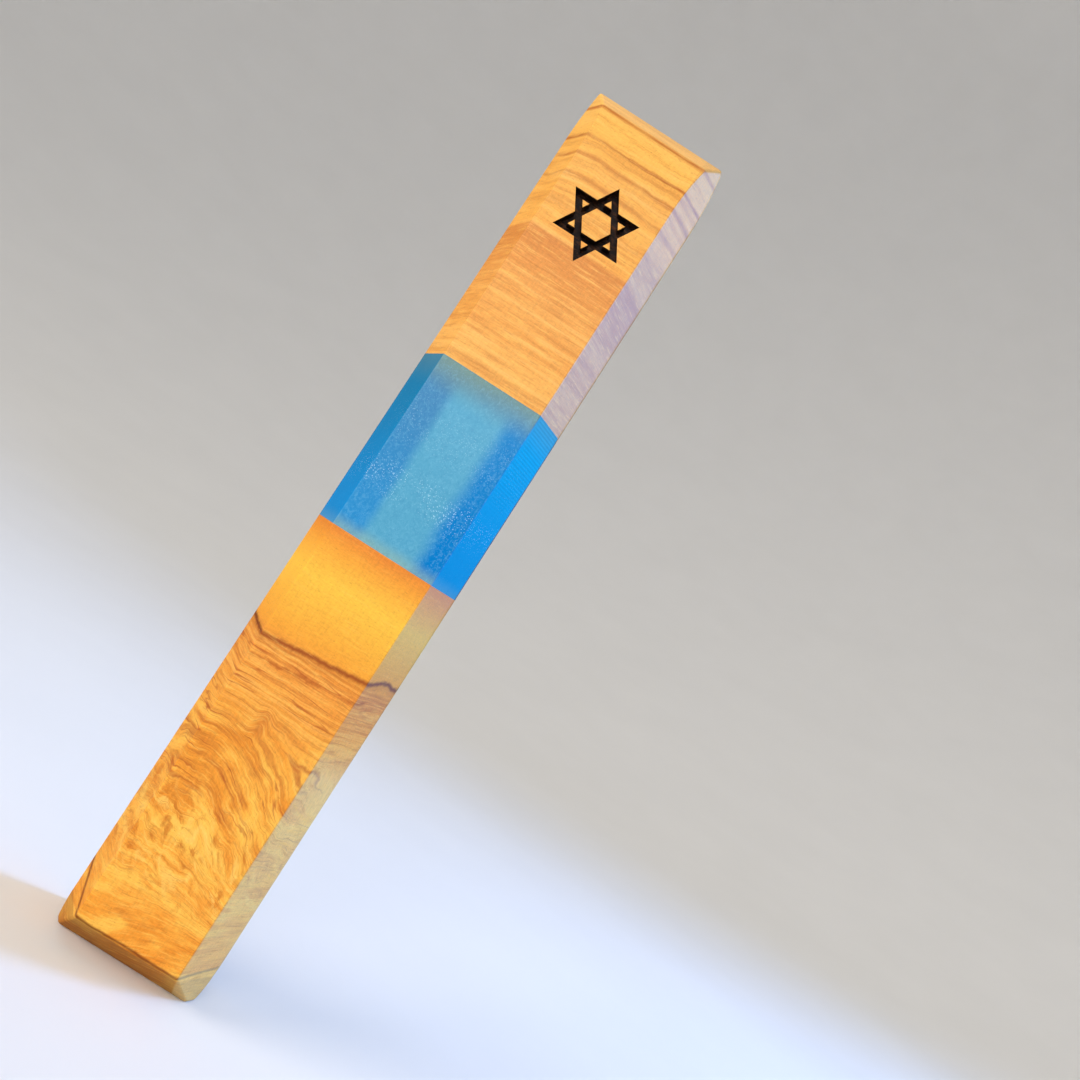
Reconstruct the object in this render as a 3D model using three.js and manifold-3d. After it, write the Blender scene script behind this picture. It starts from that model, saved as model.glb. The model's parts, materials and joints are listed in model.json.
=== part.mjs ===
// Mezuzah case: a faceted bar of olive wood, resin and olive wood, hollowed from the back for a scroll.
// Millimetres, +Z up. The case hangs upright: its back is against the doorpost, which is the plane Y = 0,
// and its front faces -Y. The origin is the middle of the back, halfway up.

import * as THREE from 'three';
import { mergeVertices } from 'three/addons/utils/BufferGeometryUtils.js';
import Module from 'manifold-3d';

const wasm = await Module();
wasm.setup();

// The bar
const LENGTH = 150;
const WIDTH = 24.6;
const BODY_DEPTH = 16.5;
const SLOPE_RUN = 3.85; // how far each long side leans in, towards the flat front
const SLOPE_DROP = 9.4; // how far the lean reaches back from the flat front
const UPPER_JOINT_Z = 25.5; // upper wood above, resin below
const LOWER_JOINT_Z = -4.3; // resin above, lower wood below

// Its ends: a bevel on the front, a sanded curve before the top bevel, and slightly rounded sides
const TOP_BEVEL = { run: 3.5, drop: 7.2 }; // the drop is measured back from the flat front
const BOTTOM_BEVEL = { run: 4.5, drop: 6.5 };
const TOP_CURVE_RADIUS = 25;
const TOP_CURVE_RUN = 10;
const TOP_CORNER = { run: 8, inset: 0.8 };
const BOTTOM_CORNER = { run: 4, inset: 0.5 };

// Foam tape on the back
const TAPE_THICKNESS = 1;
const STRIP_WIDTH = 4.6;
const STRIP_LENGTH = 126;
const STRIP_INSET = 0.8; // from the side of the case
const LOWER_TAPE_SIZE = { x: 20, z: 8 };
const LOWER_TAPE_INSET = 1.8; // from the bottom end

// Emblem: a six-pointed star cut into the front
const EMBLEM_Z = 54.3;
const EMBLEM_RADIUS = 6.5;
const EMBLEM_STROKE = 1.05;
const EMBLEM_DEPTH = 1.8;

// Channel for the scroll
const CHANNEL_WIDTH = 9.4;
const CHANNEL_TOP_Z = 50;
const CHANNEL_BOTTOM_Z = -60;
const CHANNEL_CORNER_RADIUS = 3;
const FRONT_WALL = 4.8; // left between the channel and the flat front

// Dovetail groove and the cover that slides in it
const GROOVE_DEPTH = 2.3;
const GROOVE_MOUTH = 12;
const GROOVE_FOOT = 14;
const GROOVE_BOTTOM_Z = -64;
const COVER_CLEARANCE = 0.3;
const NOTCH_RADIUS = 4.2;
const NOTCH_DEPTH = 0.9;
const NOTCH_FROM_TOP = 10;

// Scroll and its sleeve
const SLEEVE_RADIUS = 4.3;
const SLEEVE_WALL = 0.25;
const SLEEVE_LENGTH = 102;
const SLEEVE_BOTTOM_Z = -58;
const SCROLL_RADIUS = 3.75;
const SCROLL_CORE_RADIUS = 1.1;
const SCROLL_LENGTH = 98;

const HALF_WIDTH = WIDTH / 2;
const BACK_Y = -TAPE_THICKNESS;
const FRONT_Y = BACK_Y - BODY_DEPTH;
const TOP_Z = LENGTH / 2;
const BOTTOM_Z = -LENGTH / 2;
const LEDGE_Y = BACK_Y - GROOVE_DEPTH;
const CHANNEL_FLOOR_Y = FRONT_Y + FRONT_WALL;
const OVERCUT = 2; // how far a cutter runs past the surface it opens
const ARC_STEPS = 4; // on a short arc
const CIRCLE_STEPS = 24; // on a full circle

// Solids

function toSolid(geometry) {
  const bare = geometry.clone();
  bare.deleteAttribute('normal');
  bare.deleteAttribute('uv');
  const merged = mergeVertices(bare);
  const mesh = new wasm.Mesh({
    numProp: 3,
    vertProperties: new Float32Array(merged.attributes.position.array),
    triVerts: new Uint32Array(merged.index.array),
  });
  return new wasm.Manifold(mesh);
}

function toGeometry(solid) {
  const { vertProperties, triVerts } = solid.getMesh();
  const geometry = new THREE.BufferGeometry();
  geometry.setAttribute('position', new THREE.Float32BufferAttribute(vertProperties, 3));
  geometry.setIndex(new THREE.Uint32BufferAttribute(triVerts, 1));
  return geometry;
}

function cut(solid, ...cutters) {
  return cutters.reduce((rest, cutter) => rest.subtract(cutter), solid);
}

function polygon(points) {
  return new THREE.Shape(points.map(([x, y]) => new THREE.Vector2(x, y)));
}

function extrude(shape, depth, curveSegments, axisX, axisY) {
  const geometry = new THREE.ExtrudeGeometry(shape, { depth, bevelEnabled: false, curveSegments });
  const x = new THREE.Vector3(...axisX);
  const y = new THREE.Vector3(...axisY);
  const z = new THREE.Vector3().crossVectors(x, y);
  return geometry.applyMatrix4(new THREE.Matrix4().makeBasis(x, y, z));
}

// A shape drawn in X and Y, standing between two heights.
function standing(shape, lowZ, highZ, steps = ARC_STEPS) {
  return extrude(shape, highZ - lowZ, steps, [1, 0, 0], [0, 1, 0]).translate(0, 0, lowZ);
}

// A shape drawn in X and Z, reaching from a back plane forwards to a front plane.
function facing(shape, backY, frontY, steps = ARC_STEPS) {
  return extrude(shape, backY - frontY, steps, [1, 0, 0], [0, 0, 1]).translate(0, backY, 0);
}

// A shape drawn in Y and Z, as wide as the case and a little more.
function crossing(shape, steps = ARC_STEPS) {
  const width = WIDTH + 2 * OVERCUT;
  return extrude(shape, width, steps, [0, 1, 0], [0, 0, 1]).translate(-width / 2, 0, 0);
}

function box(lowX, highX, lowY, highY, lowZ, highZ) {
  const geometry = new THREE.BoxGeometry(highX - lowX, highY - lowY, highZ - lowZ);
  return geometry.translate((lowX + highX) / 2, (lowY + highY) / 2, (lowZ + highZ) / 2);
}

function roundedRectangle(lowX, highX, lowZ, highZ, radius) {
  const shape = new THREE.Shape();
  shape.absarc(highX - radius, highZ - radius, radius, 0, Math.PI / 2);
  shape.absarc(lowX + radius, highZ - radius, radius, Math.PI / 2, Math.PI);
  shape.absarc(lowX + radius, lowZ + radius, radius, Math.PI, 1.5 * Math.PI);
  shape.absarc(highX - radius, lowZ + radius, radius, 1.5 * Math.PI, 2 * Math.PI);
  return shape;
}

function ring(outerRadius, innerRadius) {
  const shape = new THREE.Shape().absarc(0, 0, outerRadius, 0, 2 * Math.PI);
  shape.holes.push(new THREE.Path().absarc(0, 0, innerRadius, 0, 2 * Math.PI));
  return shape;
}

// The bar before it is hollowed is what its three outlines have in common.

// Seen from the end: square back, leaning sides, flat front.
function endOutline() {
  const flat = HALF_WIDTH - SLOPE_RUN;
  const shoulderY = FRONT_Y + SLOPE_DROP;
  return polygon([
    [-HALF_WIDTH, BACK_Y], [-HALF_WIDTH, shoulderY], [-flat, FRONT_Y],
    [flat, FRONT_Y], [HALF_WIDTH, shoulderY], [HALF_WIDTH, BACK_Y],
  ]);
}

// Seen from the side, in Y and Z: a bevel at each end, and the curve that leads into the top one.
function sideOutline() {
  const curveAngle = Math.asin(TOP_CURVE_RUN / TOP_CURVE_RADIUS);
  const curveStartZ = TOP_Z - TOP_BEVEL.run - TOP_CURVE_RUN;
  const shape = new THREE.Shape();
  shape.moveTo(BACK_Y, TOP_Z);
  shape.lineTo(BACK_Y, BOTTOM_Z);
  shape.lineTo(FRONT_Y + BOTTOM_BEVEL.drop, BOTTOM_Z);
  shape.lineTo(FRONT_Y, BOTTOM_Z + BOTTOM_BEVEL.run);
  shape.absarc(FRONT_Y + TOP_CURVE_RADIUS, curveStartZ, TOP_CURVE_RADIUS, Math.PI, Math.PI - curveAngle, true);
  shape.lineTo(FRONT_Y + TOP_BEVEL.drop, TOP_Z);
  return shape;
}

// Seen from the front, in X and Z: straight sides that round in slightly towards each end.
function frontOutline() {
  const radius = ({ run, inset }) => (run * run + inset * inset) / (2 * inset);
  const angle = (corner) => Math.asin(corner.run / radius(corner));
  const topX = HALF_WIDTH - radius(TOP_CORNER);
  const topZ = TOP_Z - TOP_CORNER.run;
  const topAngle = angle(TOP_CORNER);
  const bottomX = HALF_WIDTH - radius(BOTTOM_CORNER);
  const bottomZ = BOTTOM_Z + BOTTOM_CORNER.run;
  const bottomAngle = angle(BOTTOM_CORNER);
  const shape = new THREE.Shape();
  shape.absarc(bottomX, bottomZ, radius(BOTTOM_CORNER), -bottomAngle, 0);
  shape.absarc(topX, topZ, radius(TOP_CORNER), 0, topAngle);
  shape.absarc(-topX, topZ, radius(TOP_CORNER), Math.PI - topAngle, Math.PI);
  shape.absarc(-bottomX, bottomZ, radius(BOTTOM_CORNER), Math.PI, Math.PI + bottomAngle);
  return shape;
}

function plainBar() {
  const fromEnd = toSolid(standing(endOutline(), BOTTOM_Z - OVERCUT, TOP_Z + OVERCUT));
  const fromSide = toSolid(crossing(sideOutline()));
  const fromFront = toSolid(facing(frontOutline(), BACK_Y + OVERCUT, FRONT_Y - OVERCUT));
  return fromEnd.intersect(fromSide).intersect(fromFront);
}

// Hollows in the back

function channelCutter() {
  const half = CHANNEL_WIDTH / 2;
  const outline = roundedRectangle(-half, half, CHANNEL_BOTTOM_Z, CHANNEL_TOP_Z, CHANNEL_CORNER_RADIUS);
  return toSolid(facing(outline, BACK_Y + OVERCUT, CHANNEL_FLOOR_Y));
}

// A dovetail across X, wider at its foot than at its mouth, running from its foot towards +Y.
function dovetail(mouth, foot, footY, mouthY) {
  return polygon([[-foot / 2, footY], [foot / 2, footY], [mouth / 2, mouthY], [-mouth / 2, mouthY]]);
}

const DOVETAIL_FLARE = (GROOVE_FOOT - GROOVE_MOUTH) / GROOVE_DEPTH; // width gained per depth

function grooveCutter() {
  const mouth = GROOVE_MOUTH - DOVETAIL_FLARE * OVERCUT;
  const shape = dovetail(mouth, GROOVE_FOOT, LEDGE_Y, BACK_Y + OVERCUT);
  return toSolid(standing(shape, GROOVE_BOTTOM_Z, TOP_Z + OVERCUT));
}

// The star is two triangles, each a band of the stroke's width: point is 1 for the one that points up
// and -1 for the one that points down.

function triangleBand(point) {
  const corner = (radius, index) => {
    const angle = Math.PI / 2 + (point * index * 2 * Math.PI) / 3;
    return [radius * Math.cos(angle), EMBLEM_Z + point * radius * Math.sin(angle)];
  };
  const corners = (radius) => [0, 1, 2].map((index) => corner(radius, index));
  const shape = polygon(corners(EMBLEM_RADIUS));
  shape.holes.push(polygon(corners(EMBLEM_RADIUS - 2 * EMBLEM_STROKE)));
  return toSolid(facing(shape, FRONT_Y + EMBLEM_DEPTH, FRONT_Y - OVERCUT));
}

function emblemCutter() {
  return triangleBand(1).add(triangleBand(-1));
}

// The three blocks of the case

const hollowBar = cut(plainBar(), channelCutter(), grooveCutter());

function block(lowZ, highZ) {
  const slice = box(-WIDTH, WIDTH, FRONT_Y - OVERCUT, BACK_Y + OVERCUT, lowZ, highZ);
  return hollowBar.intersect(toSolid(slice));
}

function upperWoodBlock() {
  return toGeometry(cut(block(UPPER_JOINT_Z, TOP_Z + OVERCUT), emblemCutter()));
}

function resinBlock() {
  return toGeometry(block(LOWER_JOINT_Z, UPPER_JOINT_Z));
}

function lowerWoodBlock() {
  return toGeometry(block(BOTTOM_Z - OVERCUT, LOWER_JOINT_Z));
}

// The cover lies a little below the back, with a thumb notch that is deepest on its upper side.

function notchCutter(faceY) {
  const tilt = Math.asin(NOTCH_DEPTH / (2 * NOTCH_RADIUS));
  const height = 2 * OVERCUT;
  const drum = new THREE.CylinderGeometry(NOTCH_RADIUS, NOTCH_RADIUS, height, CIRCLE_STEPS);
  drum.translate(0, height / 2, 0).rotateX(tilt);
  return toSolid(drum.translate(0, faceY - NOTCH_DEPTH / 2, TOP_Z - NOTCH_FROM_TOP));
}

function backCover() {
  const mouthY = BACK_Y - COVER_CLEARANCE;
  const footY = LEDGE_Y + COVER_CLEARANCE;
  const flankGap = 2 * COVER_CLEARANCE * Math.hypot(1, DOVETAIL_FLARE / 2);
  const mouth = GROOVE_MOUTH + DOVETAIL_FLARE * COVER_CLEARANCE - flankGap;
  const foot = GROOVE_FOOT - DOVETAIL_FLARE * COVER_CLEARANCE - flankGap;
  const section = dovetail(mouth, foot, footY, mouthY);
  const panel = toSolid(standing(section, GROOVE_BOTTOM_Z + COVER_CLEARANCE, TOP_Z));
  return toGeometry(cut(panel, notchCutter(mouthY)));
}

// Scroll and sleeve lie midway between the channel's floor and the cover.

const SCROLL_AXIS_Y = (CHANNEL_FLOOR_Y + LEDGE_Y + COVER_CLEARANCE) / 2;

function tube(outerRadius, innerRadius, lowZ, length) {
  const shape = ring(outerRadius, innerRadius);
  return standing(shape, lowZ, lowZ + length, CIRCLE_STEPS).translate(0, SCROLL_AXIS_Y, 0);
}

function scrollSleeve() {
  return tube(SLEEVE_RADIUS, SLEEVE_RADIUS - SLEEVE_WALL, SLEEVE_BOTTOM_Z, SLEEVE_LENGTH);
}

function parchmentScroll() {
  const lowZ = SLEEVE_BOTTOM_Z + (SLEEVE_LENGTH - SCROLL_LENGTH) / 2;
  return tube(SCROLL_RADIUS, SCROLL_CORE_RADIUS, lowZ, SCROLL_LENGTH);
}

// Tape: a strip on each rim beside the cover, and a wide piece below it.

function tapeStrip(side) {
  const outerX = HALF_WIDTH - STRIP_INSET;
  const innerX = outerX - STRIP_WIDTH;
  const lowZ = GROOVE_BOTTOM_Z + OVERCUT;
  const [lowX, highX] = side < 0 ? [-outerX, -innerX] : [innerX, outerX];
  return box(lowX, highX, BACK_Y, 0, lowZ, lowZ + STRIP_LENGTH);
}

function lowerTape() {
  const lowZ = BOTTOM_Z + LOWER_TAPE_INSET;
  const half = LOWER_TAPE_SIZE.x / 2;
  return box(-half, half, BACK_Y, 0, lowZ, lowZ + LOWER_TAPE_SIZE.z);
}

// Materials

const OLIVE_LIGHT = { color: 0xd9a05a, roughness: 0.45, metalness: 0 };
const OLIVE_DARK = { color: 0xc07a34, roughness: 0.45, metalness: 0 };
const PEARL_RESIN = { color: 0x2f8fc4, roughness: 0.12, metalness: 0 };
const COVER_WOOD = { color: 0xb98a58, roughness: 0.6, metalness: 0 };
const CLEAR_PLASTIC = { color: 0xdfe8ea, roughness: 0.08, metalness: 0 };
const PARCHMENT = { color: 0xe9dcb8, roughness: 0.8, metalness: 0 };
const FOAM_TAPE = { color: 0xe8e8e4, roughness: 0.9, metalness: 0 };

const group = new THREE.Group();

function addPart(name, geometry, look) {
  const mesh = new THREE.Mesh(geometry, new THREE.MeshStandardMaterial(look));
  mesh.name = name;
  group.add(mesh);
}

addPart('upper_wood_block', upperWoodBlock(), OLIVE_LIGHT);
addPart('resin_block', resinBlock(), PEARL_RESIN);
addPart('lower_wood_block', lowerWoodBlock(), OLIVE_DARK);
addPart('back_cover', backCover(), COVER_WOOD);
addPart('scroll_sleeve', scrollSleeve(), CLEAR_PLASTIC);
addPart('parchment_scroll', parchmentScroll(), PARCHMENT);
addPart('mounting_tape_left', tapeStrip(-1), FOAM_TAPE);
addPart('mounting_tape_right', tapeStrip(1), FOAM_TAPE);
addPart('mounting_tape_lower', lowerTape(), FOAM_TAPE);

export default group;
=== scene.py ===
"""Mezuzah case: olive wood, pearl-blue resin and olive wood, hung upright and seen from the front."""
import json
import math

import bmesh
import bpy
from mathutils import Matrix, Vector, noise

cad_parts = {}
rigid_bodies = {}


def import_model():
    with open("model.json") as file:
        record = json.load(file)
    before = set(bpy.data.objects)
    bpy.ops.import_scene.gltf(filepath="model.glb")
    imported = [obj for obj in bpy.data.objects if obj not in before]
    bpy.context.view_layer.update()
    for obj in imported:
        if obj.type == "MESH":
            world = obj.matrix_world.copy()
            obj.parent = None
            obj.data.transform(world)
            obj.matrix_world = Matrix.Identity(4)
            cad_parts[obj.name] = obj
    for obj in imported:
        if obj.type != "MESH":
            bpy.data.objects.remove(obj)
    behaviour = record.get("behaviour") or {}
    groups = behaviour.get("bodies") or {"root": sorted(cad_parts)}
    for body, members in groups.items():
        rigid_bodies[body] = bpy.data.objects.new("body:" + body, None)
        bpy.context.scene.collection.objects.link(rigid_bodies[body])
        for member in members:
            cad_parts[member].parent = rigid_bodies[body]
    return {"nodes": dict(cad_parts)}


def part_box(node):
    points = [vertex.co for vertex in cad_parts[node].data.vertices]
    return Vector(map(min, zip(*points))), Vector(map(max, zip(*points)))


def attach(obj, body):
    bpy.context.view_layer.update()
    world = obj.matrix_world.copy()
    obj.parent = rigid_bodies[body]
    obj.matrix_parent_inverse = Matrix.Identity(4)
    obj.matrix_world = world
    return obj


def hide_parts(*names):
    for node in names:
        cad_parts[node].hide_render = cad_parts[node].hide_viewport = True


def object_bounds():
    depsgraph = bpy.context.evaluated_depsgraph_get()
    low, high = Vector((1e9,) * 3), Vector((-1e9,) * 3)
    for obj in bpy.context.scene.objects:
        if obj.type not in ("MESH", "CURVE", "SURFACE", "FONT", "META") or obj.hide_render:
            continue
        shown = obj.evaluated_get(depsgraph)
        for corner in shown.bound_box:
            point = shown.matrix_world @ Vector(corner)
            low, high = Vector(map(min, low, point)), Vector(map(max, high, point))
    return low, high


# Some ways of starting Blender come with a cube, a lamp and a camera.
for leftover in list(bpy.data.objects):
    bpy.data.objects.remove(leftover)

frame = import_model()
cad_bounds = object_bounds()
nodes = frame["nodes"]

MM = 0.001


# ---------------------------------------------------------------- places, worked out from the frame

FRONT_Y = cad_bounds[0][1]
BOTTOM_Z = cad_bounds[0][2]
resin_low, resin_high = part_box("resin_block")
LOWER_JOINT_Z = resin_low.z
UPPER_JOINT_Z = resin_high.z
tape_low, tape_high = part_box("mounting_tape_left")

# The same places in millimetres, for the materials
FRONT = FRONT_Y / MM
LOWER_JOINT = LOWER_JOINT_Z / MM
UPPER_JOINT = UPPER_JOINT_Z / MM
TAPE_MIDDLE = (tape_low.y + tape_high.y) / 2 / MM

# How far from the middle the flat front ends and each slope starts
RIDGE = 8.4


# ---------------------------------------------------------------- camera

CAMERA_FROM_FRONT = 170 * MM
CAMERA_RIGHT = 15.3 * MM
CAMERA_BELOW_MIDDLE = 3.6 * MM
CAMERA_LOOKS_RIGHT = math.radians(1.0)
CAMERA_LOOKS_UP = math.radians(4.54)
CAMERA_ROLL = math.radians(32.54)
CAMERA_LENS = 38.7


def add_object(name, data):
    thing = bpy.data.objects.new(name, data)
    bpy.context.scene.collection.objects.link(thing)
    return thing


def make_camera():
    data = bpy.data.cameras.new("camera")
    data.lens = CAMERA_LENS
    data.sensor_width = 36
    data.clip_start = 0.005
    camera = add_object("camera", data)
    # It stands up from looking straight down, turns right, tilts up and then rolls.
    turn = (
        Matrix.Rotation(-CAMERA_LOOKS_RIGHT, 4, "Z")
        @ Matrix.Rotation(math.pi / 2 + CAMERA_LOOKS_UP, 4, "X")
        @ Matrix.Rotation(CAMERA_ROLL, 4, "Z")
    )
    place = Vector((CAMERA_RIGHT, FRONT_Y - CAMERA_FROM_FRONT, -CAMERA_BELOW_MIDDLE))
    camera.matrix_world = Matrix.Translation(place) @ turn
    bpy.context.scene.camera = camera


# ---------------------------------------------------------------- shader building

def paint(code):
    """A colour from its six-digit sRGB code, as the linear RGBA that shaders take."""
    def linear(part):
        return part / 12.92 if part <= 0.04045 else ((part + 0.055) / 1.055) ** 2.4
    parts = [int(code[i:i + 2], 16) / 255 for i in (0, 2, 4)]
    return (*(linear(part) for part in parts), 1.0)


class Field:
    """A number that varies over a surface. Plain arithmetic on it adds nodes to its shader."""

    def __init__(self, shader, socket):
        self.shader = shader
        self.socket = socket

    def __add__(self, other):
        return self.shader.math("ADD", self, other)

    def __radd__(self, other):
        return self.shader.math("ADD", other, self)

    def __sub__(self, other):
        return self.shader.math("SUBTRACT", self, other)

    def __rsub__(self, other):
        return self.shader.math("SUBTRACT", other, self)

    def __mul__(self, other):
        return self.shader.math("MULTIPLY", self, other)

    def __rmul__(self, other):
        return self.shader.math("MULTIPLY", other, self)

    def __truediv__(self, other):
        return self.shader.math("DIVIDE", self, other)

    def __abs__(self):
        return self.shader.math("ABSOLUTE", self)


class Shader:
    """One material, built a node at a time round a Principled shader. Its lengths are millimetres."""

    def __init__(self, name):
        self.material = bpy.data.materials.new(name)
        self.material.use_nodes = True
        self.tree = self.material.node_tree
        self.tree.nodes.clear()
        self.surface = self.tree.nodes.new("ShaderNodeBsdfPrincipled")
        output = self.tree.nodes.new("ShaderNodeOutputMaterial")
        self.tree.links.new(self.surface.outputs[0], output.inputs[0])
        here = self.tree.nodes.new("ShaderNodeTexCoord").outputs["Object"]
        scaled = self.node("ShaderNodeVectorMath", {0: here, "Scale": 1 / MM}, operation="SCALE")
        self.place = scaled.outputs[0]
        parts = self.node("ShaderNodeSeparateXYZ", {0: self.place})
        self.x, self.y, self.z = (Field(self, socket) for socket in parts.outputs)

    def node(self, kind, inputs, **settings):
        made = self.tree.nodes.new(kind)
        for key, value in settings.items():
            setattr(made, key, value)
        for key, value in inputs.items():
            self.feed(made.inputs[key], value)
        return made

    def feed(self, socket, value):
        if isinstance(value, Field):
            value = value.socket
        if isinstance(value, bpy.types.NodeSocket):
            self.tree.links.new(value, socket)
        else:
            socket.default_value = value

    def set(self, **values):
        """Sets the Principled shader's inputs, named in lower case with underscores for spaces."""
        for key, value in values.items():
            name = key.replace("_", " ").title().replace("Ior", "IOR")
            self.feed(self.surface.inputs[name], value)

    def math(self, operation, a, b=0.0):
        return Field(self, self.node("ShaderNodeMath", {0: a, 1: b}, operation=operation).outputs[0])

    def smooth(self, value, low, high):
        """0 below low, 1 above high and a soft step between them."""
        node = self.node(
            "ShaderNodeMapRange",
            {"Value": value, "From Min": low, "From Max": high},
            interpolation_type="SMOOTHSTEP",
        )
        return Field(self, node.outputs["Result"])

    def between(self, value, low, high, edge):
        """1 from low to high, falling softly to 0 at edge outside them."""
        return self.smooth(value, low - edge, low) * (1 - self.smooth(value, high, high + edge))

    def near(self, value, centre, width):
        """1 at centre, falling softly to 0 at width from it."""
        return 1 - self.smooth(abs(value - centre), 0.0, width)

    def vector(self, x, y, z):
        return self.node("ShaderNodeCombineXYZ", {0: x, 1: y, 2: z}).outputs[0]

    def stretched(self, x, y, z):
        """The place times a number of features per millimetre along each axis."""
        inputs = {0: self.place, 1: (x, y, z)}
        return self.node("ShaderNodeVectorMath", inputs, operation="MULTIPLY").outputs[0]

    def noise(self, where, detail=2.0, roughness=0.5, distortion=0.0):
        inputs = {
            "Vector": where,
            "Scale": 1.0,
            "Detail": detail,
            "Roughness": roughness,
            "Distortion": distortion,
        }
        return Field(self, self.node("ShaderNodeTexNoise", inputs).outputs["Fac"])

    def noise_along(self, value, detail=2.0, roughness=0.5):
        inputs = {"W": value, "Scale": 1.0, "Detail": detail, "Roughness": roughness}
        node = self.node("ShaderNodeTexNoise", inputs, noise_dimensions="1D")
        return Field(self, node.outputs["Fac"])

    def specks(self, where, radius, share):
        """Small round specks of mixed strength in a share of the cells, and 0 between them."""
        cells = self.node("ShaderNodeTexVoronoi", {"Vector": where, "Scale": 1.0})
        dot = 1 - self.smooth(Field(self, cells.outputs["Distance"]), radius * 0.5, radius)
        picks = self.node("ShaderNodeSeparateColor", {0: cells.outputs["Color"]})
        strength = Field(self, picks.outputs[1])
        return dot * self.math("LESS_THAN", picks.outputs[0], share) * strength

    def mix(self, factor, a, b):
        """Colour a where the factor is 0 and colour b where it is 1."""
        return self.node("ShaderNodeMix", {0: factor, 6: a, 7: b}, data_type="RGBA").outputs[2]

    def scale(self, colour, by):
        return self.node("ShaderNodeVectorMath", {0: colour, "Scale": by}, operation="SCALE").outputs[0]

    def tint(self, colour, tone):
        return self.node("ShaderNodeVectorMath", {0: colour, 1: tone}, operation="MULTIPLY").outputs[0]

    def bands(self, value, stops):
        """Colours at rising values, given as (value, colour code)."""
        low, high = stops[0][0], stops[-1][0]
        node = self.node("ShaderNodeValToRGB", {0: (value - low) / (high - low)})
        elements = node.color_ramp.elements
        elements[0].color = paint(stops[0][1])
        elements[1].color = paint(stops[-1][1])
        for stop, code in stops[1:-1]:
            elements.new((stop - low) / (high - low)).color = paint(code)
        return node.outputs[0]

    def bump(self, height, depth):
        """Raises the surface by depth millimetres where height is 1."""
        inputs = {"Height": height, "Distance": depth * MM, "Strength": 1.0}
        self.feed(self.surface.inputs["Normal"], self.node("ShaderNodeBump", inputs).outputs[0])


# ---------------------------------------------------------------- materials

def floor_paint():
    s = Shader("floor_paint")
    mottle = s.noise(s.stretched(0.02, 0.02, 0.02), detail=3)
    s.set(base_color=s.mix(mottle, paint("dedddb"), paint("e4e3e1")), roughness=0.85)
    return s.material


UPPER_TONE = (0.85, 0.765, 0.53)
LOWER_TONE = (0.86, 0.77, 0.46)


def finish_wood(s, colour, tone, height, streaks):
    """Fine fibres and pores along the figure of the wood, sanding marks across it and a satin oil."""
    fibre = s.noise(s.vector(s.x * 0.22, s.y * 0.22, height * 3.0), detail=3, roughness=0.62)
    sanding = s.noise(s.stretched(5.0, 3.0, 0.7), detail=2, roughness=0.6)
    grain = s.noise(s.vector(s.x * 2.2, s.y * 2.2, height * 5.0), detail=2, roughness=0.6)
    pores = s.smooth(s.noise(s.stretched(1.6, 1.6, 5.5), detail=1), 0.66, 0.74)
    colour = s.mix(s.smooth(fibre, 0.52, 0.70) * streaks, colour, paint("ffd27e"))
    colour = s.mix(s.smooth(1 - fibre, 0.52, 0.72) * streaks * 0.85, colour, paint("bb7030"))
    colour = s.mix(pores * 0.28, colour, paint("96571f"))
    colour = s.tint(s.scale(colour, 0.66 + 0.42 * grain + 0.26 * sanding), tone)
    s.set(
        base_color=colour,
        roughness=0.40 + 0.20 * grain,
        specular_ior_level=0.24,
        coat_weight=0.05,
        coat_roughness=0.30,
    )
    s.bump(fibre * 0.5 + grain * 0.5 - pores * 0.6, 0.02)


def right_slope(s):
    """1 on the slope to the right of the flat front."""
    return s.smooth(s.x, RIDGE, RIDGE + 0.3)


UPPER_BANDS = (
    # height, colour
    (25, "f2b463"), (28, "f7bb6c"), (34, "efab5b"), (37.5, "f2b164"), (44.5, "e39a52"), (49.1, "db904c"),
    (49.8, "f2ae58"), (52, "f5b65f"), (62, "f5b75f"), (68.8, "f9c36d"), (75, "eec27c"),
)
UPPER_LINES = (
    # height, half width, strength
    (26.5, 1.3, 0.25), (54.2, 1.4, 0.28), (58.8, 0.75, 0.58), (61.0, 1.1, 0.22), (62.5, 0.75, 0.72),
    (64.6, 0.8, 0.30), (65.8, 0.55, 1.0), (70.9, 0.5, 1.0),
)


def upper_olive_wood():
    """Pale golden wood with curved brown lines near the top, and a darker tan zone above the resin."""
    s = Shader("upper_olive_wood")
    depth = s.y - FRONT
    slow = s.noise(s.stretched(0.075, 0.03, 0.05), detail=1)
    wavy = s.noise(s.stretched(0.20, 0.06, 0.14), detail=2)
    top = s.smooth(s.z, 48, 60)
    level_end = 1 - s.smooth(s.z, 68, 70.5) * 0.8
    curves = (slow - 0.5) * (0.5 + 3.0 * top) + (wavy - 0.5) * (0.2 + 1.1 * top)
    height = s.z - depth * 0.14 * top + curves * level_end
    colour = s.bands(height, UPPER_BANDS)
    for line_z, half_width, strength in UPPER_LINES:
        colour = s.mix(s.near(height, line_z, half_width) * strength, colour, paint("b36019"))
    patches = s.noise(s.stretched(0.14, 0.14, 0.5), detail=3)
    colour = s.mix(s.smooth(patches, 0.35, 0.8) * top * 0.5, colour, paint("f7c06c"))
    layers = s.noise(s.vector(s.x * 0.05, s.y * 0.05, height * 1.1), detail=4, roughness=0.65)
    colour = s.mix(s.smooth(layers, 0.50, 0.66) * (0.55 - 0.2 * top), colour, paint("d48a40"))
    colour = s.mix(s.smooth(1 - layers, 0.50, 0.66) * 0.5, colour, paint("ffcc84"))
    # Painted shade darkens the right slope, less towards the top.
    painted_right_slope_shade = right_slope(s) * (1 - s.smooth(s.z, 50, 62) * 0.6)
    colour = s.mix(painted_right_slope_shade * 0.36, colour, paint("7c6450"))
    finish_wood(s, colour, UPPER_TONE, height, 0.45 - 0.15 * top)
    return s.material


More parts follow.
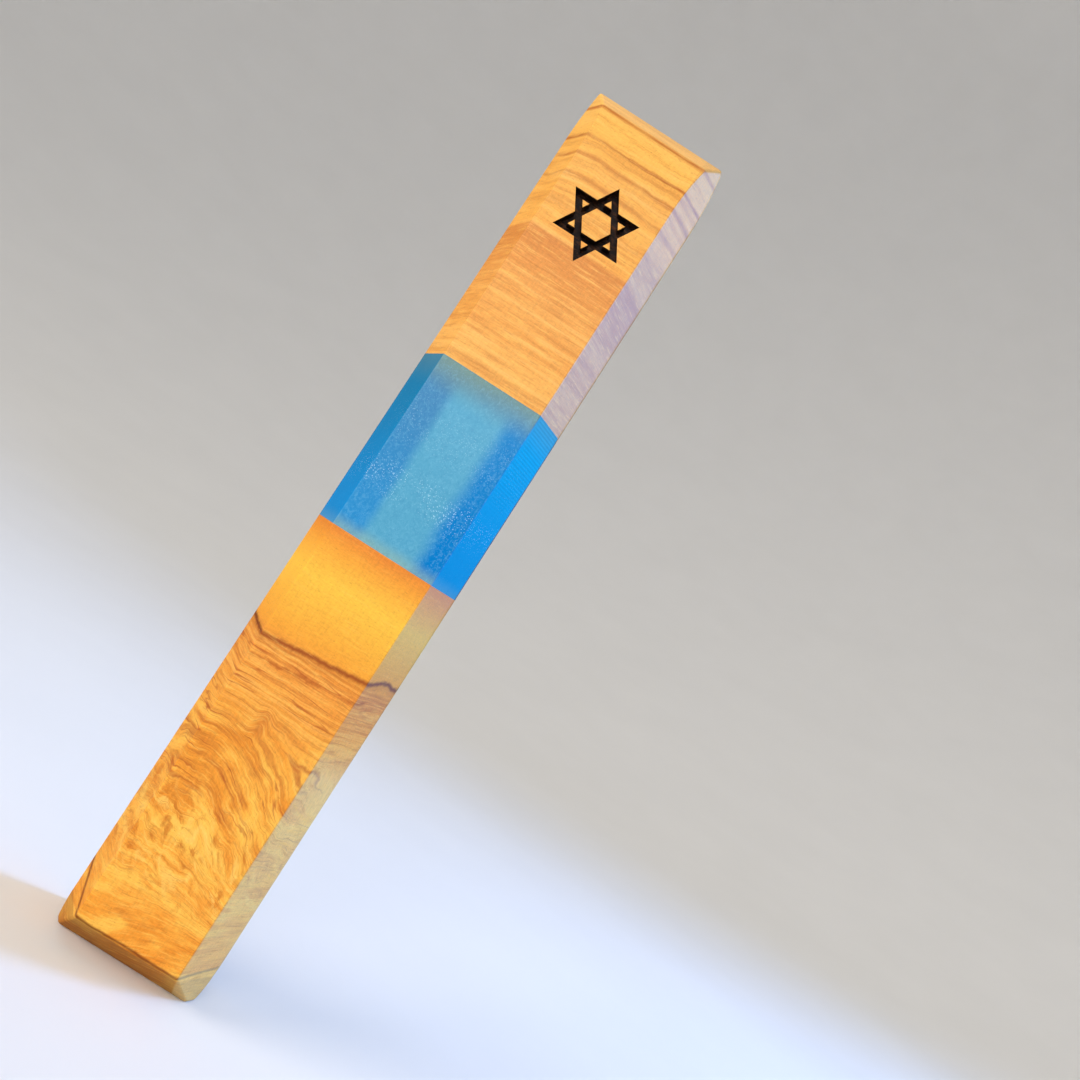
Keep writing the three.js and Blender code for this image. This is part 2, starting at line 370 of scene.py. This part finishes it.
LOWER_BANDS = (
    # height, colour
    (-75, "e09a42"), (-70, "f4a43c"), (-62, "fab14c"), (-46, "fcba56"), (-35, "f7b050"), (-24, "ea9a46"),
    (-21, "f3aa40"), (-12, "fbcb54"), (-7, "f3a841"), (-4.3, "e48a36"),
)
DARK_LINE_Z = -22.2
THIN_STREAK_BELOW_LINE = 3.3
LAST_LINE_Z = -70.4


class LowerFigure:
    """The lower block's zones, each from 0 to 1, and the bent height that its grain follows."""

    def __init__(self, s):
        below = 0 - s.z
        self.below = below
        self.depth = s.y - FRONT
        self.on_left = s.smooth(0 - s.x, 7.5, 9.0)
        self.slow = s.noise(s.stretched(0.08, 0.03, 0.06), detail=2)
        self.wavy = s.noise(s.stretched(0.24, 0.07, 0.22), detail=3)
        self.broken = s.smooth(s.noise(s.stretched(0.16, 0.06, 0.4), detail=2), 0.36, 0.60)
        self.striped = s.smooth(below, 21.5, 23.5)
        self.figured = s.smooth(below, 30, 38)
        self.level = self.striped * (1 - self.figured)
        self.foot = s.smooth(below, 53, 68)
        self.bent = s.smooth(below, 29, 46) * (1 - self.foot)
        self.burl = s.smooth(below, 43, 52) * (1 - s.smooth(below, 57, 66))
        self.flame = s.near(s.x, -1.2, 1.7) * s.near(s.z, -34.0, 4.0)
        self.height = s.z + self.waves() + self.sweep(s) - self.flame * 1.1

    def waves(self):
        slow_waves = (self.slow - 0.5) * (1.2 + 3.5 * self.bent)
        quick_waves = (self.wavy - 0.5) * (0.6 + 1.4 * self.bent + 2.0 * self.burl)
        return slow_waves + quick_waves

    def sweep(self, s):
        """How far the grain falls to the right, rises again at the foot and climbs the left slope."""
        to_right = s.smooth(s.x, -7, 14) * 9.5 * self.bent
        at_foot = s.smooth(s.x, -9, 10) * 4 * self.foot
        on_left_slope = self.depth * self.on_left * 0.22 * self.bent
        return to_right - at_foot + on_left_slope


def add_patches(s, wood, colour):
    """Broad orange and pale patches that follow the bent grain."""
    where = s.vector(s.x * 0.09, s.y * 0.03, wood.height * 0.19)
    patch = s.noise(where, detail=5, roughness=0.58, distortion=0.9)
    colour = s.mix(s.smooth(patch, 0.50, 0.60) * wood.figured * 0.65, colour, paint("e68e22"))
    return s.mix(s.smooth(1 - patch, 0.50, 0.62) * wood.figured * 0.7, colour, paint("ffcf6c"))


def add_flame(s, wood, colour):
    """One darker flame just above the bend."""
    return s.mix(wood.flame * 0.9, colour, paint("d9822c"))


def add_streaks(s, wood, colour):
    """Brown and pale streaks, fewer where the grain is level, at the burl and at the foot."""
    where = s.vector(s.x * 0.08, s.y * 0.03, wood.height * 0.95)
    streak = s.noise(where, detail=5, roughness=0.66)
    fewer = (1 - 0.45 * wood.burl) * (1 - 0.65 * wood.foot) * (1 - 0.7 * wood.level)
    brown = wood.striped * (0.36 + 0.36 * wood.broken) * fewer
    pale = wood.striped * (1 - 0.5 * wood.foot) * (1 - 0.65 * wood.level)
    colour = s.mix(s.smooth(streak, 0.50, 0.63) * brown, colour, paint("c8762c"))
    return s.mix(s.smooth(1 - streak, 0.50, 0.63) * pale * 0.6, colour, paint("ffcf74"))


def add_level_layers(s, wood, colour):
    """Fine level stripes between the dark line and the bend."""
    layer = s.noise(s.vector(s.x * 0.05, s.y * 0.03, wood.height * 2.3), detail=3, roughness=0.6)
    colour = s.mix(s.smooth(layer, 0.50, 0.60) * wood.level * 0.50, colour, paint("cc7836"))
    return s.mix(s.smooth(1 - layer, 0.50, 0.62) * wood.level * 0.5, colour, paint("fcc074"))


def add_thin_lines(s, wood, colour):
    """A few thin red-brown lines, broken here and there."""
    contour = s.noise(s.vector(s.x * 0.05, s.y * 0.02, wood.height * 0.45), detail=2)
    shown = wood.broken * wood.striped * (1 - 0.8 * wood.foot) * (1 - 0.5 * wood.burl)
    return s.mix(s.near(contour, 0.5, 0.022) * shown * 0.75, colour, paint("b04c18"))


def add_burl_curls(s, wood, colour):
    """Curled streaks that sweep down to the right across the burl."""
    swept = s.vector(s.x * 0.30 + s.z * 0.12, s.y * 0.12, wood.height * 0.20)
    curl = s.noise(swept, detail=5, roughness=0.62, distortion=1.5)
    colour = s.mix(s.smooth(curl, 0.51, 0.66) * wood.burl * 0.75, colour, paint("cc7414"))
    return s.mix(s.smooth(1 - curl, 0.51, 0.66) * wood.burl * 0.7, colour, paint("ffd584"))


def add_dark_line(s, wood, colour):
    """The dark line under the gold, ragged and rising to the right, with a thin streak below it."""
    rise = s.x * 0.11 + wood.depth * wood.on_left * 0.16 + s.near(s.x, 10.5, 1.9) * 0.8
    ragged = s.noise(s.stretched(0.8, 0.8, 0.1), detail=3, roughness=0.6)
    from_line = s.z - DARK_LINE_Z - rise - (ragged - 0.5) * 0.9
    colour = s.mix(s.between(from_line, -1.0, -0.1, 0.5) * 0.30, colour, paint("b86a2c"))
    on_slope = s.smooth(abs(s.x), RIDGE - 0.1, RIDGE + 0.3)
    line_colour = s.mix(on_slope, paint("9c480c"), paint("762c08"))
    colour = s.mix(s.near(from_line, 0.0, 0.66) * 0.92, colour, line_colour)
    streak = s.near(from_line, -THIN_STREAK_BELOW_LINE, 0.55) * s.smooth(wood.wavy, 0.40, 0.55)
    return s.mix(streak * 0.7, colour, paint("b05210"))


def add_last_line(s, wood, colour):
    """The dark line round the bottom end, and painted shade that darkens the end below it to a browner
    tone.
    """
    rise = wood.depth * (0.12 + 0.45 * wood.on_left)
    from_line = s.z - LAST_LINE_Z - rise + (wood.wavy - 0.5) * 0.9
    line = s.near(from_line, 0.0, 0.45 + 0.45 * wood.on_left)
    colour = s.mix(line * 0.85, colour, paint("7a2c04"))
    # Painted shade on the downward-facing bottom end.
    return s.mix(s.smooth(wood.below, 70.6, 71.0) * 0.5, colour, paint("a8682c"))


def paint_right_slope_shade_and_sheen(s, wood, colour):
    """Painted shade dulls the right slope by the gold, and a painted pale sheen lightens it over the
    figure.
    """
    on_right = right_slope(s)
    shade_by_gold = 1 - s.smooth(wood.below, 14, 32)
    # Painted shade on the right slope, then a painted pale sheen.
    colour = s.mix(on_right * shade_by_gold * 0.20, colour, paint("7c6450"))
    return s.mix(on_right * wood.figured * 0.36, colour, paint("f0ecdc"))


LOWER_LAYERS = (
    add_patches, add_flame, add_streaks, add_level_layers, add_thin_lines, add_burl_curls,
    add_dark_line, add_last_line, paint_right_slope_shade_and_sheen,
)


def lower_olive_wood():
    """Gold above a dark line, then level brown stripes, then burl whose streaks fall to the right."""
    s = Shader("lower_olive_wood")
    wood = LowerFigure(s)
    colour = s.bands(s.z + (wood.slow - 0.5) * 3, LOWER_BANDS)
    for add_layer in LOWER_LAYERS:
        colour = add_layer(s, wood, colour)
    finish_wood(s, colour, LOWER_TONE, wood.height, 0.16 + 0.30 * wood.striped)
    return s.material


def charred_wood():
    """The burnt inside of the emblem."""
    s = Shader("charred_wood")
    patches = s.noise(s.stretched(0.9, 0.9, 1.6), detail=4, roughness=0.7)
    streaks = s.noise(s.stretched(0.6, 0.6, 5.0), detail=3)
    colour = s.mix(s.smooth(patches, 0.45, 0.72), paint("1c0d06"), paint("5e3414"))
    colour = s.mix(s.smooth(streaks, 0.55, 0.75) * 0.5, colour, paint("7a4a20"))
    s.set(base_color=colour, roughness=0.55 + 0.3 * patches, specular_ior_level=0.35)
    s.bump(patches + streaks * 0.5, 0.05)
    return s.material


RESIN_TONE = (0.50, 0.68, 0.74)
RIPPLE_PITCH = 0.53


def resin_blue(s, drift, on_slope):
    """Deeper to the right, paler over the channel behind the flat front, and clearer on the slopes. The
    flat front's milky paleness is partly a painted reflection. The left slope is darker by painted shade
    and the right slope brighter by painted light.
    """
    down = 1 - s.smooth(s.z, LOWER_JOINT, UPPER_JOINT)
    # The flat front's colours carry a painted milky reflection.
    left = s.mix(down, paint("4f8fbb"), paint("409fd8"))
    right = s.mix(down, paint("008fd2"), paint("0089d4"))
    flat = s.mix(s.smooth(s.x, -3, 4), left, right)
    # The channel's band fades out below the upper joint, partly as painted shade of the wood above
    # falling over the channel.
    below_top = 1 - s.smooth(s.z + drift, UPPER_JOINT - 5.0, UPPER_JOINT - 0.5)
    channel = s.smooth(s.x + drift, -5.2, -3.2) * (1 - s.smooth(s.x + drift, 3.4, 6.6)) * below_top
    flat = s.mix(channel, flat, paint("70b6d2"))
    # Painted shade on the left slope and painted light on the right slope: lit and shaded copies of one
    # resin colour.
    shaded_left_slope = s.mix(down, paint("0089b6"), paint("009ce2"))
    lit_right_slope = s.mix(down, paint("00bde2"), paint("00a4d2"))
    slope = s.mix(s.smooth(s.x, -1, 1), shaded_left_slope, lit_right_slope)
    return s.mix(on_slope, flat, slope)


def add_resin_haze(s, drift, on_slope, colour):
    """Paler and greener where the resin meets the wood above and below it."""
    top = s.smooth(s.z + drift * 0.7, UPPER_JOINT - 6.0, UPPER_JOINT + 0.6)
    colour = s.mix(top * (0.85 - on_slope * 0.55), colour, paint("9aa286"))
    foot = 1 - s.smooth(s.z + drift * 0.5, LOWER_JOINT - 0.2, LOWER_JOINT + 2.4)
    return s.mix(foot * (0.55 - on_slope * 0.35), colour, paint("c2c8a4"))


def resin_sparkle(s):
    """Pearl flakes, thickest in two loose bands."""
    clusters = s.near(s.z, 15, 6.0) * 0.3 + s.near(s.z, 5.8, 4.0) + 0.1
    patchy = s.smooth(s.noise(s.stretched(0.3, 0.3, 0.4), detail=2), 0.28, 0.56)
    return s.specks(s.stretched(3.8, 3.8, 3.8), 0.36, 0.75) * clusters * patchy


def resin_ripples(s):
    """Fine level ripples on the upper part of the right slope, from -1 to 1."""
    ripples = s.math("SINE", s.z * (2 * math.pi / RIPPLE_PITCH))
    return ripples * s.smooth(s.z, 7, 18) * s.smooth(s.x, RIDGE + 0.2, RIDGE + 0.6)


def pearl_resin():
    """Pearl-blue resin. The scroll channel shows through its flat front as a paler, soft-edged band."""
    s = Shader("pearl_resin")
    swirl = s.noise(s.stretched(0.16, 0.16, 0.10), detail=4, roughness=0.55, distortion=1.5)
    cloud = s.noise(s.stretched(1.5, 1.5, 1.2), detail=4, roughness=0.68, distortion=1.3)
    drift = (swirl - 0.5) * 1.2
    on_slope = s.smooth(abs(s.x), RIDGE, RIDGE + 0.22)
    colour = resin_blue(s, drift, on_slope)
    colour = add_resin_haze(s, drift, on_slope, colour)
    pearl = (1 - on_slope * 0.95) * s.smooth(cloud, 0.45, 0.75)
    colour = s.mix(pearl * 0.28, colour, paint("a8dcf0"))
    colour = s.mix(s.smooth(1 - cloud, 0.5, 0.8) * 0.28, colour, paint("1f74ae"))
    ripples = resin_ripples(s)
    # The ripples' light and dark lines are painted into the colour as well as bumped: painted shade and
    # highlight.
    colour = s.tint(s.scale(colour, 1 + 0.10 * ripples), RESIN_TONE)
    colour = s.mix(resin_sparkle(s) * (0.9 - on_slope * 0.5), colour, paint("d8f4fb"))
    s.set(
        base_color=colour,
        roughness=0.13 + 0.10 * cloud - 0.09 * on_slope,
        specular_ior_level=0.14,
    )
    s.bump(ripples * 0.6 + cloud * 0.4, 0.02)
    return s.material


def cover_wood():
    """Plain olive wood with its grain along the cover."""
    s = Shader("cover_wood")
    slow = s.noise(s.stretched(0.12, 0.12, 0.02), detail=2)
    across = s.x + (slow - 0.5) * 9
    rings = s.noise_along(across * 0.7, detail=4, roughness=0.6)
    colour = s.bands(rings, ((0.25, "d9a367"), (0.45, "cf9456"), (0.6, "b9783c"), (0.75, "96592a")))
    fibre = s.noise(s.stretched(3.5, 3.5, 0.22), detail=3, roughness=0.6)
    colour = s.mix(s.smooth(fibre, 0.5, 0.75) * 0.5, colour, paint("e6b77c"))
    colour = s.mix(s.smooth(1 - fibre, 0.55, 0.8) * 0.5, colour, paint("8f5a2c"))
    s.set(base_color=colour, roughness=0.5 + 0.2 * fibre, specular_ior_level=0.4)
    s.bump(fibre, 0.03)
    return s.material


def clear_plastic():
    """A thin clear wall. Most light passes straight through it, and least where it is seen edge on."""
    s = Shader("clear_plastic")
    smear = s.noise(s.stretched(0.15, 0.15, 0.04), detail=3)
    edge_on = Field(s, s.node("ShaderNodeLayerWeight", {"Blend": 0.35}).outputs["Facing"])
    s.set(
        base_color=s.mix(smear, paint("e2ebee"), paint("f2f7f8")),
        roughness=0.05 + 0.10 * smear,
        ior=1.45,
        alpha=0.05 + 0.32 * edge_on,
    )
    return s.material


def parchment():
    """Scraped skin, creamy and slightly uneven, with fine darker follicles."""
    s = Shader("parchment")
    clouds = s.noise(s.stretched(0.3, 0.3, 0.12), detail=4, roughness=0.6)
    follicles = s.noise(s.stretched(4, 4, 4), detail=2)
    colour = s.bands(clouds, ((0.3, "e0c284"), (0.5, "ebd39c"), (0.7, "f3e1b6")))
    colour = s.mix(s.smooth(follicles, 0.6, 0.75) * 0.3, colour, paint("c8a562"))
    s.set(base_color=colour, roughness=0.62 + 0.2 * clouds, sheen_weight=0.1)
    s.bump(clouds * 0.6 + follicles * 0.4, 0.03)
    return s.material


def foam_tape():
    """White foam between two thin films of adhesive."""
    s = Shader("foam_tape")
    cells = s.noise(s.stretched(5, 5, 5), detail=3, roughness=0.7)
    film = s.smooth(abs(s.y - TAPE_MIDDLE), 0.40, 0.43)
    foam = s.mix(s.smooth(cells, 0.4, 0.7), paint("d5d5d0"), paint("f2f2ee"))
    creases = s.noise(s.stretched(0.4, 0.4, 0.08), detail=3, roughness=0.6)
    adhesive = s.mix(s.smooth(creases, 0.4, 0.7), paint("dcdcd4"), paint("e9e9e3"))
    s.set(
        base_color=s.mix(film, foam, adhesive),
        roughness=0.9 - 0.45 * film,
        specular_ior_level=0.4,
    )
    s.bump(cells * (1 - film * 0.8) + creases * film * 0.6, 0.06)
    return s.material


# ---------------------------------------------------------------- studio

FLOOR_RADIUS = 0.35
FLOOR_CURVE = 1.2
CURVE_STEPS = 12
WALL_HEIGHT = 2.6
FLOOR_SIDES = 64
FLOOR_GAP = 0.05 * MM


def make_studio_floor():
    """A pale round floor that curves up into a wall all round, so that no view shows a horizon."""
    work = bmesh.new()
    profile = [(0.0, 0.0), (FLOOR_RADIUS, 0.0)]
    for step in range(1, CURVE_STEPS + 1):
        angle = step / CURVE_STEPS * math.pi / 2
        rise = FLOOR_CURVE * (1 - math.cos(angle))
        profile.append((FLOOR_RADIUS + FLOOR_CURVE * math.sin(angle), rise))
    profile.append((FLOOR_RADIUS + FLOOR_CURVE, WALL_HEIGHT))
    points = [work.verts.new((x, 0, z)) for x, z in profile]
    edges = [work.edges.new(pair) for pair in zip(points, points[1:])]
    bmesh.ops.spin(
        work, geom=points + edges, axis=(0, 0, 1), cent=(0, 0, 0), angle=2 * math.pi, steps=FLOOR_SIDES
    )
    bmesh.ops.remove_doubles(work, verts=work.verts, dist=0.01 * MM)
    for face in work.faces:
        face.smooth = True
    mesh = bpy.data.meshes.new("studio_floor")
    work.to_mesh(mesh)
    work.free()
    mesh.materials.append(floor_paint())
    floor = add_object("studio_floor", mesh)
    floor.location = (0, 0, BOTTOM_Z - FLOOR_GAP)
    floor.visible_glossy = False


GRID_SPREAD = math.radians(80)
NO_GRID = math.pi


def soft_light(name, place, size, power, colour, spread=GRID_SPREAD):
    """A rectangular panel that faces the middle of the case. A grid narrows the spread of its light."""
    data = bpy.data.lights.new(name, "AREA")
    data.shape = "RECTANGLE"
    data.size, data.size_y = size
    data.energy = power
    data.color = colour
    data.spread = spread
    light = add_object(name, data)
    turn = (-Vector(place)).to_track_quat("-Z", "Y").to_matrix().to_4x4()
    light.matrix_world = Matrix.Translation(place) @ turn
    light.visible_camera = False


def make_lights():
    soft_light(
        "key", place=(-0.88, -0.62, 0.36), size=(0.75, 0.60), power=3.1, colour=(1.0, 0.94, 0.86)
    )
    soft_light(
        "front", place=(-0.17, -1.08, 0.38), size=(0.75, 0.56), power=1.6, colour=(0.94, 0.97, 1.0)
    )
    soft_light(
        "cool_side", place=(0.57, 0.29, 0.18), size=(0.16, 0.38), power=1.52, colour=(0.25, 0.48, 1.0)
    )
    soft_light(
        "top", place=(0.1, 0.35, 1.9), size=(2.4, 2.4), power=15.5, colour=(1.0, 0.97, 0.94),
        spread=NO_GRID,
    )
    world = bpy.data.worlds.new("studio")
    world.use_nodes = True
    background = world.node_tree.nodes["Background"]
    background.inputs["Color"].default_value = (0.92, 0.95, 1.0, 1)
    background.inputs["Strength"].default_value = 0.1
    bpy.context.scene.world = world
    bpy.context.scene.view_settings.view_transform = "Standard"


# ---------------------------------------------------------------- pieces

def add_piece(name, mesh, node, body, slot, *materials):
    """A new piece that stands for a CAD node and rides on its body."""
    for material in materials:
        mesh.materials.append(material)
    piece = add_object(name, mesh)
    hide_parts(node)
    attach(piece, body)
    return piece


def merged_copy(node):
    """The node's mesh with its facets joined, and flat areas made one face."""
    work = bmesh.new()
    work.from_mesh(nodes[node].data)
    bmesh.ops.remove_doubles(work, verts=work.verts, dist=0.001 * MM)
    bmesh.ops.dissolve_limit(
        work, angle_limit=math.radians(0.5), verts=work.verts, edges=work.edges, delimit=set()
    )
    return work


WIDEST_EASE = 0.5 * MM
SMOOTH_ANGLE = math.radians(15)


def eased_mesh(name, work, ease_of):
    """Marks each edge with the share of the widest easing that its corner was sanded to."""
    share = work.edges.layers.float.new("bevel_weight_edge")
    for edge in work.edges:
        if edge.calc_face_angle(0) > SMOOTH_ANGLE:
            edge[share] = ease_of(edge) / WIDEST_EASE
            edge.smooth = edge[share] > 0
    for face in work.faces:
        face.smooth = True
    mesh = bpy.data.meshes.new(name)
    work.to_mesh(mesh)
    work.free()
    return mesh


def round_edges(piece):
    bevel = piece.modifiers.new("eased_edges", "BEVEL")
    bevel.limit_method = "WEIGHT"
    bevel.width = WIDEST_EASE
    bevel.segments = 3
    bevel.use_clamp_overlap = False
    normals = piece.modifiers.new("normals", "WEIGHTED_NORMAL")
    normals.keep_sharp = True


TOUCHING = 0.01 * MM

# The emblem's pocket, the only hollow in the front
POCKET_HALF_WIDTH = 7 * MM
POCKET_LOW_Z = 46 * MM
POCKET_HIGH_Z = 61.2 * MM
POCKET_SHALLOWEST = 1 * MM
POCKET_DEEPEST = 3 * MM

# Its burnt floor
FLOOR_SPLITS = 4
FLOOR_EDGE = 0.6 * MM
FLOOR_UNEVEN = 0.22 * MM
FLOOR_LUMP = 1.3 * MM

# The channel and the cover's groove, behind the front
CHANNEL_REACH = 7.2 * MM
CHANNEL_BEHIND_FRONT = 4 * MM

# The ridges between the flat front and its two slopes
RIDGE_FROM_MIDDLE = 8 * MM
RIDGE_BEHIND_FRONT = 2.2 * MM

# How far each kind of edge was sanded back
POCKET_EASE = 0.08 * MM
CHANNEL_EASE = 0.12 * MM
RIGHT_RIDGE_EASE = 0.08 * MM
UPPER_LEFT_RIDGE_EASE = 0.06 * MM
LOWER_LEFT_RIDGE_EASE = 0.14 * MM
OUTSIDE_EASE = 0.42 * MM


def ridge_ease(point):
    if point.x > 0:
        return RIGHT_RIDGE_EASE
    return UPPER_LEFT_RIDGE_EASE if point.z > UPPER_JOINT_Z else LOWER_LEFT_RIDGE_EASE


def block_ease(edge):
    """Edges of a block: none where it is glued to the next block, little inside, more outside."""
    ends = [vert.co for vert in edge.verts]
    middle = (ends[0] + ends[1]) / 2
    for joint_z in (LOWER_JOINT_Z, UPPER_JOINT_Z):
        if all(abs(end.z - joint_z) < TOUCHING for end in ends):
            return 0.0
    if is_pocket_point(middle):
        on_front = all(end.y < FRONT_Y + TOUCHING for end in ends)
        return POCKET_EASE if on_front else 0.0
    if abs(middle.x) < CHANNEL_REACH and middle.y > FRONT_Y + CHANNEL_BEHIND_FRONT:
        return CHANNEL_EASE
    near_front = all(end.y < FRONT_Y + RIDGE_BEHIND_FRONT for end in ends)
    if near_front and abs(middle.x) > RIDGE_FROM_MIDDLE:
        return ridge_ease(middle)
    return OUTSIDE_EASE


def is_pocket_point(point):
    in_outline = abs(point.x) < POCKET_HALF_WIDTH and POCKET_LOW_Z < point.z < POCKET_HIGH_Z
    return in_outline and point.y < FRONT_Y + POCKET_DEEPEST


def pocket_floor(work):
    return [
        face for face in work.faces
        if face.normal.y < -0.9 and is_pocket_point(face.calc_center_median())
        and face.calc_center_median().y > FRONT_Y + POCKET_SHALLOWEST
    ]


def pocket_walls(work):
    return [
        face for face in work.faces
        if abs(face.normal.y) < 0.1 and all(is_pocket_point(vert.co) for vert in face.verts)
    ]


def split_pocket_floor(work):
    """Halves the edges of the pocket's floor until they are short enough to leave it uneven."""
    for _ in range(FLOOR_SPLITS):
        bmesh.ops.triangulate(work, faces=pocket_floor(work))
        edges = {edge for face in pocket_floor(work) for edge in face.edges}
        long_edges = [edge for edge in edges if edge.calc_length() > FLOOR_EDGE]
        bmesh.ops.subdivide_edges(work, edges=long_edges, cuts=1)
    bmesh.ops.triangulate(work, faces=pocket_floor(work))


def burn_pocket(work):
    """Leaves the pocket's floor uneven, and gives its floor and walls the second material."""
    split_pocket_floor(work)
    floor = pocket_floor(work)
    inside = {vert for face in floor for vert in face.verts}
    walls = pocket_walls(work)
    for face in floor + walls:
        face.material_index = 1
    on_wall = {vert for face in walls for vert in face.verts}
    for vert in inside - on_wall:
        vert.co.y += FLOOR_UNEVEN * noise.noise(vert.co / FLOOR_LUMP)


def add_block(name, work, node, slot, *materials):
    mesh = eased_mesh(name, work, block_ease)
    round_edges(add_piece(name, mesh, node, "case", slot, *materials))


def make_blocks():
    upper = merged_copy("upper_wood_block")
    burn_pocket(upper)
    add_block(
        "upper_wood", upper, "upper_wood_block", "olive_wood_light", upper_olive_wood(), charred_wood()
    )
    resin = merged_copy("resin_block")
    add_block("resin", resin, "resin_block", "pearl_resin", pearl_resin())
    lower = merged_copy("lower_wood_block")
    add_block("lower_wood", lower, "lower_wood_block", "olive_wood_dark", lower_olive_wood())


COVER_EASE = 0.15 * MM


def make_cover():
    mesh = eased_mesh("cover", merged_copy("back_cover"), lambda edge: COVER_EASE)
    round_edges(add_piece("cover", mesh, "back_cover", "cover", "cover_wood", cover_wood()))


def grid_faces(work, rows, closed):
    """Joins neighbouring rows of points with faces. A closed grid joins the last row to the first."""
    pairs = list(zip(rows, rows[1:]))
    if closed:
        pairs.append((rows[-1], rows[0]))
    for row, next_row in pairs:
        for index in range(len(row) - 1):
            face = work.faces.new((row[index], next_row[index], next_row[index + 1], row[index + 1]))
            face.smooth = True


def to_mesh(name, work):
    bmesh.ops.recalc_face_normals(work, faces=work.faces)
    mesh = bpy.data.meshes.new(name)
    work.to_mesh(mesh)
    work.free()
    return mesh


SLEEVE_WALL = 0.25 * MM
SLEEVE_STEPS = 72
LIP_STEPS = 6


def make_sleeve():
    """A thin clear tube with rounded lips."""
    low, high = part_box("scroll_sleeve")
    radius = (high.x - low.x) / 2
    axis_y = (low.y + high.y) / 2
    lip = SLEEVE_WALL / 2
    section = []
    for centre_z, first in ((high.z - lip, 0.0), (low.z + lip, math.pi)):
        for step in range(LIP_STEPS + 1):
            angle = first + step / LIP_STEPS * math.pi
            section.append((radius - lip + lip * math.cos(angle), centre_z + lip * math.sin(angle)))
    work = bmesh.new()
    rows = []
    for turn in range(SLEEVE_STEPS):
        angle = turn / SLEEVE_STEPS * 2 * math.pi
        row = [
            work.verts.new((r * math.cos(angle), axis_y + r * math.sin(angle), z)) for r, z in section
        ]
        rows.append(row + [row[0]])
    grid_faces(work, rows, closed=True)
    mesh = to_mesh("sleeve", work)
    add_piece("sleeve", mesh, "scroll_sleeve", "scroll", "clear_plastic", clear_plastic())


SHEET_THICKNESS = 0.22 * MM
ROLL_PITCH = 0.5 * MM
ROLL_CORE_RADIUS = 1.1 * MM
STEPS_PER_TURN = 36
SHEET_ROWS = 28
UNEVEN_END = 0.35 * MM  # how far the turns stand out past each other at the ends
LOOSE_TURN = 0.05 * MM  # how far a turn stands off its proper radius


def make_scroll():
    """A parchment sheet rolled up from its inner edge, its turns not quite level at the two ends."""
    low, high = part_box("parchment_scroll")
    axis_y = (low.y + high.y) / 2
    outer = (high.x - low.x) / 2 - SHEET_THICKNESS / 2
    turns = (outer - ROLL_CORE_RADIUS) / ROLL_PITCH
    work = bmesh.new()
    rows = []
    for step in range(int(turns * STEPS_PER_TURN) + 1):
        angle = step / STEPS_PER_TURN * 2 * math.pi
        radius = ROLL_CORE_RADIUS + ROLL_PITCH * step / STEPS_PER_TURN
        row = []
        for level in range(SHEET_ROWS + 1):
            share = level / SHEET_ROWS
            z = low.z + share * (high.z - low.z)
            z += UNEVEN_END * noise.noise(Vector((angle * 0.35, 3.0 + share, 0)))
            loose = LOOSE_TURN * noise.noise(Vector((angle * 0.8, z / (14 * MM), 5)))
            r = radius + loose
            row.append(work.verts.new((r * math.cos(angle), axis_y + r * math.sin(angle), z)))
        rows.append(row)
    grid_faces(work, rows, closed=False)
    mesh = to_mesh("parchment", work)
    piece = add_piece("parchment", mesh, "parchment_scroll", "scroll", "parchment", parchment())
    thickness = piece.modifiers.new("thickness", "SOLIDIFY")
    thickness.thickness = SHEET_THICKNESS
    thickness.offset = 0


TAPE_CORNER = 0.9 * MM
CORNER_STEPS = 5
SIDE_STEPS = 24
UNEVEN_CUT = 0.06 * MM
TAPE_EDGE_PULL = 0.12 * MM
TAPE_LAYERS = (
    # share of the way through the tape, share of the pull there
    (0.0, 0.5), (0.07, 0.0), (0.3, 0.9), (0.5, 1.0), (0.7, 0.9), (0.93, 0.0), (1.0, 0.5),
)


def corner_points(centre_x, centre_z, quarter, reach):
    """Points round a quarter of a circle in X and Z."""
    points = []
    for step in range(CORNER_STEPS + 1):
        angle = (quarter + step / CORNER_STEPS) * math.pi / 2
        points.append((centre_x + reach * math.cos(angle), centre_z + reach * math.sin(angle)))
    return points


def side_points(start, length, pattern):
    """Points up or down a side of the tape from its start. The cut wanders a little to either hand."""
    start_x, start_z = start
    points = []
    for step in range(1, SIDE_STEPS):
        z = start_z + step / SIDE_STEPS * length
        wander = UNEVEN_CUT * noise.noise(Vector((pattern, z / (9 * MM), 1)))
        points.append((start_x + wander, z))
    return points


def tape_outline(low, high, inset):
    """Points round a strip in X and Z. Its corners are rounded and its upright sides a little uneven."""
    left, right = low.x + TAPE_CORNER, high.x - TAPE_CORNER
    bottom, top = low.z + TAPE_CORNER, high.z - TAPE_CORNER
    reach = TAPE_CORNER - inset
    points = corner_points(right, top, 0, reach) + corner_points(left, top, 1, reach)
    points += side_points(points[-1], bottom - top, left / MM)
    points += corner_points(left, bottom, 2, reach) + corner_points(right, bottom, 3, reach)
    points += side_points(points[-1], top - bottom, right / MM)
    return points


def make_tape(name, node):
    """Foam tape whose cut edge pulls in a little between its two films."""
    low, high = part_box(node)
    work = bmesh.new()
    rows = []
    for share, pull in TAPE_LAYERS:
        y = low.y + share * (high.y - low.y)
        outline = tape_outline(low, high, TAPE_EDGE_PULL * pull)
        rows.append([work.verts.new((x, y, z)) for x, z in outline])
    work.faces.new(rows[0])
    work.faces.new(rows[-1])
    grid_faces(work, [row + [row[0]] for row in rows], closed=False)
    add_piece(name, to_mesh(name, work), node, "case", "foam_tape", foam_tape())


make_camera()
make_studio_floor()
make_lights()
make_blocks()
make_cover()
make_sleeve()
make_scroll()
make_tape("tape_left", "mounting_tape_left")
make_tape("tape_right", "mounting_tape_right")
make_tape("tape_lower", "mounting_tape_lower")
